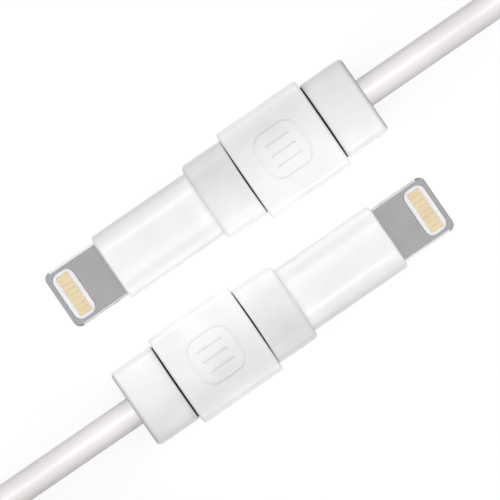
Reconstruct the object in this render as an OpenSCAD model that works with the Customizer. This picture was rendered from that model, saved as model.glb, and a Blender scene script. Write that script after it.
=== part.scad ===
// Charging cable with two equal eight-contact plugs. Each plug end carries a
// three-piece cable protector: a slotted body whose collar grips the boot, a square
// sleeve that turns on the body's neck to lock it, and a rear collar that keeps the
// sleeve on. The middle of the cord is folded into a tied hank.
// Millimetres. The resting surface is z = 0 and the origin lies midway between the ends.

/* [Plug tongue] */
// Length of the metal tongue in front of the boot
tongue_len = 6.4; // [6:0.1:9]
// Width of the metal tongue
tongue_w = 6.65; // [6.3:0.05:7]
// Thickness of the metal tongue
tongue_t = 1.5; // [1.4:0.05:2]
// Corner radius of the tongue's tip in plan
tip_r = 0.8; // [0.3:0.05:1.2]
// Radius of the tongue's long edges
tongue_edge_r = 0.3; // [0.1:0.05:0.5]
// Length of the contact window along the plug
window_len = 2.4; // [2.2:0.1:3]
// Width of the contact window
window_w = 5.5; // [5.2:0.1:5.8]
// Metal left in front of the window
window_margin = 0.5; // [0.4:0.1:1]
// Corner radius of the window
window_r = 0.9; // [0.4:0.1:1.1]

/* [Contacts and board] */
// Contacts on each face
contact_count = 8; // [4:1:8]
// Distance from contact to contact
contact_pitch = 0.6; // [0.58:0.02:0.64]
// Width of one contact
contact_w = 0.5; // [0.4:0.02:0.52]
// Length of one contact
contact_len = 1.45; // [1.2:0.05:2]
// Thickness of one contact
contact_t = 0.12; // [0.08:0.01:0.16]
// Width of the circuit board
board_w = 4.8; // [4:0.1:5]
// Thickness of the circuit board
board_t = 0.5; // [0.4:0.05:0.7]
// Wires soldered to the board
wire_count = 4; // [2:1:4]
// Diameter of one insulated wire
wire_d = 0.5; // [0.4:0.05:0.6]
// Sheet thickness of the shield can
can_t = 0.2; // [0.1:0.05:0.3]
// Wall of the crimp ring round the end of the cord
crimp_t = 0.16; // [0.1:0.02:0.18]

/* [Boot] */
// Width of the moulded boot
boot_w = 7.7; // [7.4:0.1:8.2]
// Height of the moulded boot
boot_h = 4.9; // [4.7:0.1:5.6]
// Corner radius of the boot's section
boot_corner_r = 1.9; // [1.2:0.1:2.2]
// Radius of the boot's front edge
boot_edge_r = 0.35; // [0.2:0.05:0.6]
// Wall of the boot round its inner parts
boot_wall = 0.65; // [0.5:0.05:0.7]
// Length of boot left in front of the protector
boot_shown = 11.9; // [11.5:0.1:14]
// Length of the boot's tail inside the protector's collar
boot_tail = 1.7; // [1:0.1:2.5]
// Length of the strain relief behind the boot
relief_len = 6.5; // [4:0.5:10]
// Wall of the strain relief at its root
relief_wall = 0.45; // [0.3:0.05:0.5]
// Rings cut round the strain relief
relief_grooves = 4; // [2:1:6]

/* [Protector] */
// Side of the square turning sleeve
sleeve_size = 10.7; // [10.2:0.1:12]
// Length of the turning sleeve
sleeve_len = 10; // [8:0.5:14]
// Corner radius of the sleeve's section
sleeve_corner_r = 1.4; // [0.8:0.1:2]
// Side of the square collars in front of the sleeve and behind it
collar_size = 9.15; // [9:0.05:10]
// Corner radius of the collars' section
collar_corner_r = 2.2; // [1:0.1:2.4]
// Length of the front collar
front_collar_len = 4.75; // [4:0.25:7]
// Length of the rear collar
rear_collar_len = 4.9; // [4:0.1:7]
// Radius of the outer edges of both collars
collar_edge_r = 0.45; // [0.2:0.05:0.8]
// Radius of the sleeve's end edges
sleeve_edge_r = 0.25; // [0.1:0.05:0.5]
// Outer diameter of the neck that the sleeve turns on
neck_d = 7; // [6.4:0.1:7.2]
// Bore of the neck, over the strain relief
neck_bore_d = 4.4; // [4.3:0.1:4.8]
// Width of the slots that the cord is laid in through
slot_w = 3.5; // [3.4:0.1:3.8]
// End wall of the rear collar, behind the neck
end_wall = 1.6; // [1:0.1:2]
// Angle that the sleeve turns through between locked and open
turn_angle = 90; // [60:5:90]
// Width of the rib on the neck that stops the sleeve
stop_w = 0.8; // [0.6:0.1:1.2]
// Height of the stop rib
stop_h = 0.45; // [0.3:0.05:0.6]
// Length of the stop rib
stop_len = 1.3; // [0.8:0.1:2]
// Depth of the lines cut in the thumb mark
mark_depth = 0.15; // [0.1:0.05:0.3]
// Width of the lines cut in the thumb mark
mark_line = 0.35; // [0.25:0.05:0.5]
// Outer size of the thumb mark's frame
mark_size = 5.6; // [4:0.2:6.4]
// Bars inside the thumb mark
mark_bars = 3; // [2:1:4]

/* [Cord and hank] */
// Diameter of the cord
cord_d = 3.2; // [3:0.1:3.3]
// Radius of the hank's inner end folds
fold_r = 9.6; // [9.6:0.2:12]
// Distance from one turn of the hank to the next beside it
turn_step = 3.85; // [3.8:0.05:4.2]
// Distance from one layer of the hank to the next above it
layer_step = 3.8; // [3.75:0.05:4.2]
// Half of the hank's straight run
half_run = 16.25; // [15:0.25:20]
// Half of the gap between the inner runs at the tied waist, to the cord's middle
waist_half = 5.6; // [5:0.2:7]
// Distance from turn to turn at the waist
waist_step = 4.3; // [4.2:0.05:5]
// Thickness of the strap tied round the hank
strap_t = 0.8; // [0.5:0.1:1.2]
// Width of the strap tied round the hank
strap_w = 6; // [4:0.5:8]
// Thickness of the strap's free end, pressed down over the strap
strap_tail_t = 0.7; // [0.5:0.1:1]
// How far the strap's free end reaches past the middle of the hank
strap_tail_reach = 3.2; // [1:0.2:4.4]

/* [Layout] */
// Angle of both plugs from the X axis
lay_angle = 34.5; // [20:0.5:45]
// Distance between the two plugs' axes
axis_spacing = 13.56; // [13.2:0.02:16]
// How far each tongue's tip lies before the middle
tip_reach = 19.3; // [18:0.1:22]
// Middle of the hank, across and along the view from above
hank_middle = [0.6, -43.5];

/* [Clearances] */
// Radial running gap between the sleeve and the neck
running_gap = 0.06; // [0.03:0.01:0.1]
// Gap between the sleeve's ends and the collars
turning_gap = 0.28; // [0.2:0.02:0.5]
// Gap round parts that are pressed or glued in place
seat_gap = 0.02; // [0.01:0.01:0.05]
// Gap round the boot in the protector's collar
boot_gap = 0.05; // [0.02:0.01:0.1]
// Gap round parts that only lie inside another part
loose_gap = 0.2; // [0.1:0.05:0.3]
// Slack of the sleeve's stop, in degrees
stop_slack = 3; // [1:1:5]
// Gap between the hank and its strap
strap_gap = 0.3; // [0.2:0.05:0.5]

/* [Hidden] */
$fn = 48;
ENDS = ["a", "b"];
END_NODES = ["plug_shell", "contact_insert", "contacts_top", "contacts_bottom", "circuit_board",
    "board_chips", "shield_can", "wire_tails", "crimp_ring", "boot", "strain_relief", "cord_end",
    "protector_body", "sleeve", "rear_collar"];

cord_r = cord_d / 2;
neck_r = neck_d / 2;
axis_z = sleeve_size / 2;

// Places along an end's own axis, from the tongue's tip towards the cord
boot_x = tongue_len;
nose_wall = 0.8;
// Radius of the collars' edges beside the sleeve
inner_edge_r = 0.1;
// Radius of the tongue's end that is buried in the boot
buried_edge_r = 0.05;
cavity_x = boot_x + nose_wall;
flange_len = 1.8;
can_x = cavity_x + flange_len;
collar_x = boot_x + boot_shown;
boot_end = collar_x + boot_tail;
tail_wall = 3;
cavity_end = boot_end - tail_wall;
crimp_len = 2;
cord_start = cavity_end - crimp_len;
can_end = cord_start - loose_gap;
// Room behind the board for bending the wires, and the board's reach into the insert
wire_room = 0.6;
board_reach = 0.85;
board_end = can_end - can_t - wire_room;
window_end = window_margin + window_len;
board_x = window_end - board_reach;
neck_x = collar_x + front_collar_len;
sleeve_x = neck_x + turning_gap;
rear_x = sleeve_x + sleeve_len + turning_gap;
exit_x = rear_x + rear_collar_len;
neck_end = exit_x - end_wall;

// Sizes of the parts on the board as [length, width, height], and the gap between its wires
controller = [2, 2.4, 0.7];
regulator = [1.6, 2, 0.6];
small_part = [0.5, 0.6, 0.35];
small_part_pitch = 2;
wire_gap = 0.06;

// Section of the boot's cavity, and of what fills it
cavity_w = boot_w - 2 * boot_wall;
cavity_h = boot_h - 2 * boot_wall;
cavity_r = boot_corner_r - boot_wall;
tunnel_w = board_w + 2 * loose_gap;
tunnel_t = board_t + 2 * loose_gap;

// Route of the cord. The first stretch is measured along the plug's axis as
// [distance from the exit, height]; the rest are points in the shared frame.
exit_drop = [[0, axis_z], [cord_d, axis_z], [7, 4.9], [11, 3.7], [15, 2.35], [19, 1.65]];
route_a = [[28.7, 27.8, cord_r], [31.6, 29, cord_r], [35, 28.8, cord_r], [38.1, 27.1, cord_r],
    [40.1, 24.3, cord_r], [40.8, 21, cord_r], [40.9, 15, cord_r], [40.7, 9, cord_r],
    [40.4, 3, cord_r], [40.1, -3, cord_r], [39.8, -9, cord_r], [39.6, -15, cord_r],
    [39.4, -21, cord_r], [39.4, -27, cord_r], [39.4, -32, cord_r], [39.4, -37, 1.7],
    [39.4, -42, 2.7], [39.3, -47, 4.6], [38, -51.9, 7.2], [34.4, -55.6, 9.8], [29.6, -56.9, 11.9]];
route_b = [[-28.6, -28, cord_r], [-30.8, -30.5, cord_r], [-31.8, -34.3, cord_r],
    [-31.9, -38.5, cord_r], [-31.8, -43, cord_r], [-31.6, -47.4, cord_r], [-30.2, -51.9, cord_r],
    [-26.7, -55.5, cord_r]];

// Moves of the hank's turns: [turn where it starts, columns inwards, layers up].
// Each takes an eighth of a turn, which is half of a run.
hank_moves = [[0.625, 1, 0], [1.5, 0, 1], [2.125, -1, 0], [3, 0, 1], [3.625, 1, 0], [4.5, 0, 1],
    [5.125, -1, 0]];
hank_turns = 5.25;
rings_per_turn = 24;
hank_sides = 6;
cord_sides = 8;
hank_layers = 4;
waist_lift = strap_t + strap_gap;

// ---- 2D and 3D helpers -------------------------------------------------------

// Rectangle with round corners, centred
module rounded_rect(w, h, r) {
    square([w - 2 * r, h], center = true);
    square([w, h - 2 * r], center = true);
    for (x = [-1, 1]) for (y = [-1, 1])
        translate([x * (w / 2 - r), y * (h / 2 - r)]) circle(r);
}

// Strip along x from 0 to len, with corner radius r0 at x = 0 and r1 at x = len
module end_rounded(len, w, r0, r1) {
    translate([r0, -w / 2]) square([len - r0 - r1, w]);
    translate([0, r0 - w / 2]) square([2 * r0, w - 2 * r0]);
    translate([len - 2 * r1, r1 - w / 2]) square([2 * r1, w - 2 * r1]);
    for (s = [-1, 1]) {
        translate([r0, s * (w / 2 - r0)]) circle(r0);
        translate([len - r1, s * (w / 2 - r1)]) circle(r1);
    }
}

// Bar along x with a rounded section, from x = 0
module section_bar(len, w, h, r) {
    rotate([90, 0, 90]) linear_extrude(len) rounded_rect(w, h, r);
}

// The same bar with its end edges rounded by r0 at x = 0 and r1 at x = len
module soft_bar(len, w, h, r, r0, r1, plan_r0 = 0) {
    intersection() {
        section_bar(len, w, h, r);
        translate([0, 0, -h]) linear_extrude(2 * h)
            end_rounded(len, w, max(r0, plan_r0), r1);
        rotate([90, 0, 0]) translate([0, 0, -w]) linear_extrude(2 * w)
            end_rounded(len, h, r0, r1);
    }
}

// Rod along x from x = 0
module rod(len, r) {
    rotate([0, 90, 0]) cylinder(h = len, r = r);
}

// Slot from the axis downwards, for laying the cord in
module lay_in_slot(x, len) {
    translate([x, -slot_w / 2, -sleeve_size]) cube([len, slot_w, sleeve_size]);
}

// ---- Sweeps ------------------------------------------------------------------

function unit(v) = v / norm(v);

function tangent(path, i) =
    unit(path[min(i + 1, len(path) - 1)] - path[max(i - 1, 0)]);

// Corners of one ring of a tube, square to the path
function ring(path, i, r, sides) =
    let (t = tangent(path, i), side = unit(cross(t, [0, 0, 1])), up = cross(side, t))
    [for (k = [0 : sides - 1])
        let (a = 360 * (k + 0.5) / sides) path[i] + r * (cos(a) * side + sin(a) * up)];

// Solid tube along a path of points, as one closed mesh of triangles
module tube(path, r, sides) {
    n = len(path);
    walls = [for (i = [0 : n - 2]) for (k = [0 : sides - 1])
        let (a = i * sides + k, b = i * sides + (k + 1) % sides)
        each [[a, b, a + sides], [b, b + sides, a + sides]]];
    near_cap = [for (k = [1 : sides - 2]) [0, k + 1, k]];
    last = (n - 1) * sides;
    far_cap = [for (k = [1 : sides - 2]) [last, last + k, last + k + 1]];
    polyhedron([for (i = [0 : n - 1]) each ring(path, i, r, sides)],
        concat(walls, near_cap, far_cap), convexity = 10);
}

// ---- Routes ------------------------------------------------------------------

// A point of end e's own frame in the shared frame
function placed(e, p) =
    let (turn = lay_angle + (e == "a" ? 0 : 180), x = p[0] - tip_reach, y = p[1] + axis_spacing / 2)
    [x * cos(turn) - y * sin(turn), x * sin(turn) + y * cos(turn), p[2]];

function exit_stretch(e) = [for (p = exit_drop) placed(e, [exit_x + p[0], 0, p[1]])];

function ease(t) = t <= 0 ? 0 : t >= 1 ? 1 : (1 - cos(180 * t)) / 2;

// Columns inwards (which = 1) or layers up (which = 2) after u turns of the hank
function moved(u, which) =
    [for (m = hank_moves) m[which] * ease(8 * (u - m[0]))] * [for (m = hank_moves) 1];

// Point of the hank after u turns: a run, a fold, the run back and the other fold
function hank_point(u) =
    let (f = u - floor(u), quarter = min(floor(4 * f), 3), g = 4 * f - quarter,
        out = 1 - moved(u, 1), fold = fold_r + out * turn_step,
        waist = waist_half + out * waist_step,
        along = (quarter == 0 ? 2 * g - 1 : 1 - 2 * g) * half_run,
        nip = (1 + cos(180 * along / half_run)) / 2, beside = fold - (fold - waist) * nip,
        a = (quarter == 1 ? -90 : 90) + 180 * g, on_run = quarter % 2 == 0,
        x = on_run ? along : (quarter == 1 ? half_run : -half_run) + fold * cos(a),
        y = on_run ? (quarter == 0 ? -beside : beside) : fold * sin(a))
    [hank_middle[0] + x, hank_middle[1] + y,
        cord_r + moved(u, 2) * layer_step + (on_run ? waist_lift * nip : 0)];

// Straight lead of one cord diameter before the first turn and after the last one
hank_first = hank_point(0) - [cord_d, 0, 0];
hank_last = hank_point(hank_turns - 0.0001) + [cord_d, 0, 0];

function hank_path(per_turn) = concat([hank_first],
    [for (i = [0 : per_turn * hank_turns - 1]) hank_point(i / per_turn)],
    [hank_point(hank_turns - 0.0001), hank_last]);

path_a = concat(exit_stretch("a"), route_a, [hank_last + [cord_d, 0, 0], hank_last]);
path_b = concat(exit_stretch("b"), route_b, [hank_first - [cord_d, 0, 0], hank_first]);

function path_len(path) =
    [for (i = [1 : len(path) - 1]) norm(path[i] - path[i - 1])] * [for (i = [2 : len(path)]) 1];

// Least distance between points of a path that lie more than 2.5 diameters apart along it
function least_gap(path) =
    let (pitch = path_len(path) / (len(path) - 1), skip = ceil(2.5 * cord_d / pitch))
    min([for (i = [0 : len(path) - 1]) for (j = [i + skip : 1 : len(path) - 1])
        norm(path[i] - path[j])]) - cord_d;

union() {  // cord_hank
    echo(least_gap_of_the_hank = least_gap(hank_path(3 * rings_per_turn)));
    echo(length_of_the_cord = path_len(path_a) + path_len(path_b) + path_len(hank_path(96)),
        stretch_a = path_len(path_a), stretch_b = path_len(path_b));
}

// ---- Plug --------------------------------------------------------------------

module window_outline(gap = 0) {
    translate([window_margin + window_len / 2, 0])
        rounded_rect(window_len - 2 * gap, window_w - 2 * gap, window_r - gap);
}

// Stainless tongue with a flange that the boot holds
module plug_shell() {
    color("darkgray") difference() {
        union() {
            soft_bar(can_x, tongue_w, tongue_t, tongue_edge_r, tongue_edge_r, buried_edge_r, tip_r);
            translate([cavity_x, 0, 0]) section_bar(flange_len, cavity_w - 2 * seat_gap,
                cavity_h - 2 * seat_gap, cavity_r - seat_gap);
        }
        translate([0, 0, -tongue_t]) linear_extrude(2 * tongue_t) window_outline();
        translate([window_end - window_r, -tunnel_w / 2, -tunnel_t / 2])
            cube([can_x, tunnel_w, tunnel_t]);
    }
}

// Outlines of one face's contacts
module contact_outlines() {
    for (i = [0 : contact_count - 1])
        translate([window_margin + window_len / 2, (i - (contact_count - 1) / 2) * contact_pitch])
            rounded_rect(contact_len, contact_w, contact_w * 0.3);
}

module contacts_top() {
    color("gold") translate([0, 0, tongue_t / 2 - contact_t])
        linear_extrude(contact_t) contact_outlines();
}

module contacts_bottom() {
    mirror([0, 0, 1]) contacts_top();
}

// Moulding that fills the window and carries the contacts and the board's front edge
module contact_insert() {
    face = tongue_t / 2 - seat_gap;
    color("whitesmoke") difference() {
        translate([0, 0, -face]) linear_extrude(2 * face) window_outline(seat_gap);
        for (s = [-1, 1]) translate([0, 0, s * (face + tongue_t / 2 - contact_t) - face])
            linear_extrude(2 * face) contact_outlines();
        translate([board_x - seat_gap, -board_w / 2 - seat_gap, -board_t / 2 - seat_gap])
            cube([window_len, board_w + 2 * seat_gap, board_t + 2 * seat_gap]);
    }
}

// ---- Inside the boot ---------------------------------------------------------

module circuit_board() {
    color("seagreen") translate([board_x, -board_w / 2, -board_t / 2])
        cube([board_end - board_x, board_w, board_t]);
}

// Controller, regulator and small parts, each its own solid on the board
module board_chips() {
    first = can_x + 2 * loose_gap;
    color("dimgray") {
        translate([first, -controller[1] / 2, board_t / 2]) cube(controller);
        translate([first, -regulator[1] / 2, -board_t / 2 - regulator[2]]) cube(regulator);
        for (s = [-1, 1])
            translate([first + controller[0], (s * small_part_pitch - small_part[1]) / 2,
                -board_t / 2 - small_part[2]]) cube(small_part);
    }
}

module shield_can() {
    can_w = cavity_w - 2 * seat_gap;
    can_h = cavity_h - 2 * seat_gap;
    can_r = cavity_r - seat_gap;
    color("silver") difference() {
        translate([can_x, 0, 0]) section_bar(can_end - can_x, can_w, can_h, can_r);
        translate([can_x - 1, 0, 0])
            section_bar(can_end - can_x + 1 - can_t, can_w - 2 * can_t, can_h - 2 * can_t,
                can_r - can_t);
        translate([can_x, 0, 0]) rod(can_end - can_x + 1, cord_r - loose_gap / 4);
    }
}

// Bare wire tails from the cord's cut end to the board's solder pads
module wire_tails() {
    pitch = wire_d + wire_gap;
    color("firebrick") for (i = [0 : wire_count - 1])
        translate([board_end - 1, (i - (wire_count - 1) / 2) * pitch, board_t / 2 + wire_d / 2])
            rod(cord_start - board_end + 1, wire_d / 2);
}

module crimp_ring() {
    color("silver") translate([cord_start, 0, 0]) difference() {
        rod(crimp_len, cord_r + crimp_t);
        translate([-1, 0, 0]) rod(crimp_len + 2, cord_r);
    }
}

// ---- Boot and cord end -------------------------------------------------------

module boot() {
    color("white") difference() {
        translate([boot_x, 0, 0]) soft_bar(boot_end - boot_x, boot_w, boot_h, boot_corner_r,
            boot_edge_r, boot_edge_r / 2);
        translate([cavity_x, 0, 0]) section_bar(cavity_end - cavity_x, cavity_w, cavity_h, cavity_r);
        section_bar(can_x, tongue_w + 2 * seat_gap, tongue_t + 2 * seat_gap,
            tongue_edge_r + seat_gap);
        translate([cavity_x, 0, 0]) rod(boot_end, cord_r);
    }
}

// Ringed collar moulded round the cord behind the boot
module strain_relief() {
    pitch = relief_len / (relief_grooves + 1);
    groove_w = pitch / 3;
    color("white") translate([boot_end, 0, 0]) difference() {
        rod(relief_len, cord_r + relief_wall);
        for (i = [1 : relief_grooves])
            translate([i * pitch - groove_w / 2, 0, 0]) difference() {
                rod(groove_w, cord_r + 2 * relief_wall);
                rod(groove_w, cord_r + relief_wall / 2);
            }
        translate([-1, 0, 0]) rod(relief_len + 2, cord_r);
    }
}

// Cord inside the boot and the protector, up to the point where it comes out
module cord_end() {
    color("white") translate([cord_start, 0, 0]) rod(exit_x - cord_start, cord_r);
}

// ---- Protector ---------------------------------------------------------------

module protector_body() {
    color("white") difference() {
        union() {
            translate([collar_x, 0, 0]) soft_bar(front_collar_len, collar_size, collar_size,
                collar_corner_r, collar_edge_r, inner_edge_r);
            translate([neck_x - 1, 0, 0]) rod(neck_end - neck_x + 1, neck_r);
            translate([neck_x - 1, -stop_w / 2, 0]) cube([stop_len + 1, stop_w, neck_r + stop_h]);
        }
        translate([collar_x - 1, 0, 0]) section_bar(boot_tail + 1, boot_w + 2 * boot_gap,
            boot_h + 2 * boot_gap, boot_corner_r + boot_gap);
        translate([collar_x, 0, 0]) rod(neck_end, neck_bore_d / 2);
        lay_in_slot(collar_x - 1, neck_end);
    }
}

// Square sleeve, locked at rest: its slot faces sideways and the body's slot faces down
module sleeve() {
    rib_angle = asin(stop_w / 2 / neck_r);
    recess_angle = turn_angle + 2 * (rib_angle + stop_slack);
    color("white") difference() {
        translate([sleeve_x, 0, 0]) soft_bar(sleeve_len, sleeve_size, sleeve_size,
            sleeve_corner_r, sleeve_edge_r, sleeve_edge_r);
        translate([sleeve_x - 1, 0, 0]) rod(sleeve_len + 2, neck_r + running_gap);
        translate([sleeve_x - 1, 0, -slot_w / 2]) cube([sleeve_len + 2, sleeve_size, slot_w]);
        stop_recess(90 - rib_angle - stop_slack, recess_angle);
        translate([sleeve_x + sleeve_len / 2, 0, sleeve_size / 2 - mark_depth]) thumb_mark();
    }
}

// Arc cut in the sleeve's front end that the stop rib runs in
module stop_recess(start, angle) {
    depth = stop_len - turning_gap + loose_gap;
    outer = neck_r + stop_h + loose_gap / 2;
    translate([sleeve_x - 1, 0, 0]) rotate([start, 0, 0]) rotate([90, 0, 90])
        rotate_extrude(angle = angle) translate([neck_r - 0.5, 0])
            square([outer - neck_r + 0.5, depth + 1]);
}

// Plain thumb mark: a rounded frame line with straight grip bars inside
module thumb_mark() {
    corner = mark_size * 0.28;
    inner = mark_size - 2 * mark_line;
    bar_pitch = inner / (mark_bars + 1);
    linear_extrude(2 * mark_depth) {
        difference() {
            rounded_rect(mark_size, mark_size, corner);
            rounded_rect(inner, inner, corner - mark_line);
        }
        for (i = [1 : mark_bars])
            translate([0, i * bar_pitch - inner / 2])
                rounded_rect(inner * 0.6, mark_line, mark_line / 2 - 0.01);
    }
}

module rear_collar() {
    color("white") difference() {
        translate([rear_x, 0, 0]) soft_bar(rear_collar_len, collar_size, collar_size,
            collar_corner_r, inner_edge_r, collar_edge_r);
        translate([rear_x - 1, 0, 0]) rod(neck_end - rear_x + 1, neck_r + seat_gap);
        translate([rear_x, 0, 0]) rod(rear_collar_len + 1, slot_w / 2);
        lay_in_slot(rear_x - 1, rear_collar_len + 2);
    }
}

// ---- Cord --------------------------------------------------------------------

module cord_a() {
    color("white") tube(path_a, cord_r, cord_sides);
}

module cord_b() {
    color("white") tube(path_b, cord_r, cord_sides);
}

// Folded middle of the cord: one unbroken tube in four layers, two turns wide
module cord_hank() {
    color("white") tube(hank_path(rings_per_turn), cord_r, hank_sides);
}

// Section of the strap's outline at a distance from the cord
module strap_outline(gap) {
    half_out = waist_half + waist_step + cord_r;
    half_in = waist_half + cord_r;
    shoulder = waist_lift + 3 * layer_step;
    top = waist_lift + (hank_layers - 1) * layer_step + cord_d;
    r = cord_r + gap;
    hull() for (s = [-1, 1]) {
        translate([s * (half_out - cord_r), waist_lift + cord_r]) circle(r);
        translate([s * (half_out - cord_r), shoulder - cord_r]) circle(r);
        translate([s * (half_in - cord_r), top - cord_r]) circle(r);
    }
}

// Band of the strap's width between two distances from the cord
module strap_band(inner_gap, outer_gap) {
    translate([-strap_w / 2, 0, 0]) rotate([90, 0, 90]) linear_extrude(strap_w) difference() {
        strap_outline(outer_gap);
        strap_outline(inner_gap);
    }
}

// Soft strap tied round the waist of the hank, its round-cornered free end laid over the top
module hank_strap() {
    outside = strap_gap + strap_t;
    side = waist_half + waist_step + 2 * cord_d;
    tail_z = waist_lift + 3 * layer_step - cord_r;
    color("gainsboro") translate([hank_middle[0], hank_middle[1], 0]) {
        strap_band(strap_gap, outside);
        intersection() {
            strap_band(outside - strap_t / 2, outside + strap_tail_t);
            translate([0, (side - strap_tail_reach) / 2, tail_z]) linear_extrude(hank_layers * cord_d)
                rounded_rect(strap_w, side + strap_tail_reach, strap_w / 4);
        }
    }
}

// ---- Assembly ----------------------------------------------------------------

// Puts a piece from an end's own frame into the shared frame
module at_end(e) {
    rotate([0, 0, lay_angle + (e == "a" ? 0 : 180)])
        translate([-tip_reach, axis_spacing / 2, axis_z]) children();
}

for (e = ENDS) at_end(e) {
    plug_shell();
    contact_insert();
    contacts_top();
    contacts_bottom();
    circuit_board();
    board_chips();
    shield_can();
    wire_tails();
    crimp_ring();
    boot();
    strain_relief();
    cord_end();
    protector_body();
    sleeve();
    rear_collar();
}
cord_a();
cord_b();
cord_hank();
hank_strap();
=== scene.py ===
import bpy
import bmesh
import math
from mathutils import Matrix, Vector


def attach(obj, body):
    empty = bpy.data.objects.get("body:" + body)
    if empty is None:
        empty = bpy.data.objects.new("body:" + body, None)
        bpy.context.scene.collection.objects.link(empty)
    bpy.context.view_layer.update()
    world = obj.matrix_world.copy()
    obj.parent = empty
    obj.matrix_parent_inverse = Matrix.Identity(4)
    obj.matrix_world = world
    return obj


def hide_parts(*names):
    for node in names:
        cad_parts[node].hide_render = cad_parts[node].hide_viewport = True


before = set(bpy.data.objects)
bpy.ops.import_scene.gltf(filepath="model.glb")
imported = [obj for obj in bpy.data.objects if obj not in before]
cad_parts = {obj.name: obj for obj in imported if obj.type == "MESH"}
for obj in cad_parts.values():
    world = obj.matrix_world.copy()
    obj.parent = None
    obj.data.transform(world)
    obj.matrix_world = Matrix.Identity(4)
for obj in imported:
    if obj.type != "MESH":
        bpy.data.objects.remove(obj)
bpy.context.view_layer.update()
mm = 0.001
print("frame loaded:", len(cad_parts), "CAD nodes")

# all sizes are millimetres
spare = 1  # how far a cutter, or a piece that is joined on, reaches past the other piece
samePlace = 0.01 * mm  # places nearer than this count as one
mergeReach = 0.001 * mm  # points nearer than this are merged
alongAxis = 0.999  # least share of its length with which an edge runs along an axis
facing = 0.9  # least share of its normal with which a face looks along an axis
# how finely round shapes are divided
detail = {"barSides": 120, "rodSides": 96, "boreSides": 64, "barEdge": 6}

# where the two plug ends lie; the second end is the first one turned by half a turn
layout = {
    "angle": 34.5,
    "axisSpacing": 13.56,
    "tipReach": 19.3,
    "axisHeight": 5.35,
    "ends": {"A": 0, "B": 180},
}

# places along one end's own axis, measured from the tongue's tip
along = {
    "boot": 6.4,
    "collar": 18.3,
    "bootEnd": 20.0,
    "neck": 23.05,
    "collarFace": 23.09,
    "sleeve": 23.28,
    "sleeveEnd": 33.26,
    "rearFace": 33.497,
    "neckEnd": 36.91,
    "exit": 38.51,
}


# helpers for modelling

def objectMode():
    if bpy.context.mode != "OBJECT":
        bpy.ops.object.mode_set(mode="OBJECT")


def pick(obj):
    objectMode()
    bpy.ops.object.select_all(action="DESELECT")
    obj.select_set(True)
    bpy.context.view_layer.objects.active = obj


def scaled(values):
    return [v * mm for v in values]


def applyAll(obj):
    pick(obj)
    bpy.ops.object.transform_apply(location=True, rotation=True, scale=True)
    return obj


def finishModifier(obj, kind, **settings):
    modifier = obj.modifiers.new(kind.lower(), kind)
    for key, value in settings.items():
        setattr(modifier, key, value)
    pick(obj)
    bpy.ops.object.modifier_apply(modifier=modifier.name)


def selectParts(obj, faceTest=None, edgeTest=None):
    # goes into edit mode with only the wanted faces or edges selected
    pick(obj)
    bpy.ops.object.mode_set(mode="EDIT")
    bpy.ops.mesh.select_mode(type="FACE" if faceTest else "EDGE")
    bpy.ops.mesh.select_all(action="DESELECT")
    mesh = bmesh.from_edit_mesh(obj.data)
    if faceTest:
        for face in mesh.faces:
            face.select_set(bool(faceTest(face)))
    else:
        for edge in mesh.edges:
            edge.select_set(bool(edgeTest(edge)))
    bmesh.update_edit_mesh(obj.data)


def tidyMesh(obj, merge=True):
    # merges doubled points where asked, and turns all faces outwards
    pick(obj)
    bpy.ops.object.mode_set(mode="EDIT")
    bpy.ops.mesh.select_all(action="SELECT")
    if merge:
        bpy.ops.mesh.remove_doubles(threshold=mergeReach)
    bpy.ops.mesh.normals_make_consistent(inside=False)
    objectMode()


def edgeRuns(edge, axis):
    run = edge.verts[1].co - edge.verts[0].co
    return abs(run.normalized()[axis]) > alongAxis


def edgeMiddle(edge):
    return (edge.verts[0].co + edge.verts[1].co) / 2


def bevelEdges(obj, test, width, segments, affect="EDGES"):
    selectParts(obj, edgeTest=test)
    bpy.ops.mesh.bevel(offset=width * mm, segments=segments, affect=affect)
    objectMode()


def smooth(obj, angle=35):
    pick(obj)
    bpy.ops.object.shade_smooth_by_angle(angle=math.radians(angle))
    return obj


def block(name, x0, x1, width, height, y=0, z=0):
    bpy.ops.mesh.primitive_cube_add(size=1, location=scaled([(x0 + x1) / 2, y, z]))
    obj = bpy.context.object
    obj.name = name
    obj.scale = scaled([x1 - x0, width, height])
    return applyAll(obj)


def rod(name, x0, x1, radius, sides=detail["rodSides"]):
    bpy.ops.mesh.primitive_cylinder_add(vertices=sides, radius=radius * mm, depth=(x1 - x0) * mm,
                                        location=scaled([(x0 + x1) / 2, 0, 0]),
                                        rotation=(0, math.pi / 2, 0))
    obj = bpy.context.object
    obj.name = name
    return applyAll(obj)


def softBar(name, x0, x1, width, height, fullness, frontEdge=0, rearEdge=0, crown=0):
    # a bar along x; its section is a superellipse (2 is an oval, more is nearer a rectangle)
    # with its sides bulged out by the crown's share of the half width
    sides = detail["barSides"]
    bpy.ops.mesh.primitive_cylinder_add(vertices=sides, radius=1, depth=(x1 - x0) * mm,
                                        rotation=(0, math.pi / 2, 0))
    obj = bpy.context.object
    obj.name = name
    applyAll(obj)
    for vert in obj.data.vertices:
        y, z = vert.co.y, vert.co.z
        reach = (abs(y) ** fullness + abs(z) ** fullness) ** (-1 / fullness)
        y, z = y * reach, z * reach
        vert.co.y = y * (1 - crown * z * z) * width / 2 * mm
        vert.co.z = z * (1 - crown * y * y) * height / 2 * mm
    obj.location.x = (x0 + x1) / 2 * mm
    applyAll(obj)
    for edge, way in ((frontEdge, -1), (rearEdge, 1)):
        if edge:
            selectParts(obj, faceTest=lambda f: f.normal.x * way > facing and len(f.verts) == sides)
            bpy.ops.mesh.bevel(offset=edge * mm, segments=detail["barEdge"], affect="EDGES")
            objectMode()
    return obj


def combine(obj, other, operation):
    finishModifier(obj, "BOOLEAN", object=other, operation=operation, solver="EXACT")
    bpy.data.objects.remove(other, do_unlink=True)


def cutAway(obj, cutter):
    combine(obj, cutter, "DIFFERENCE")


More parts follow.
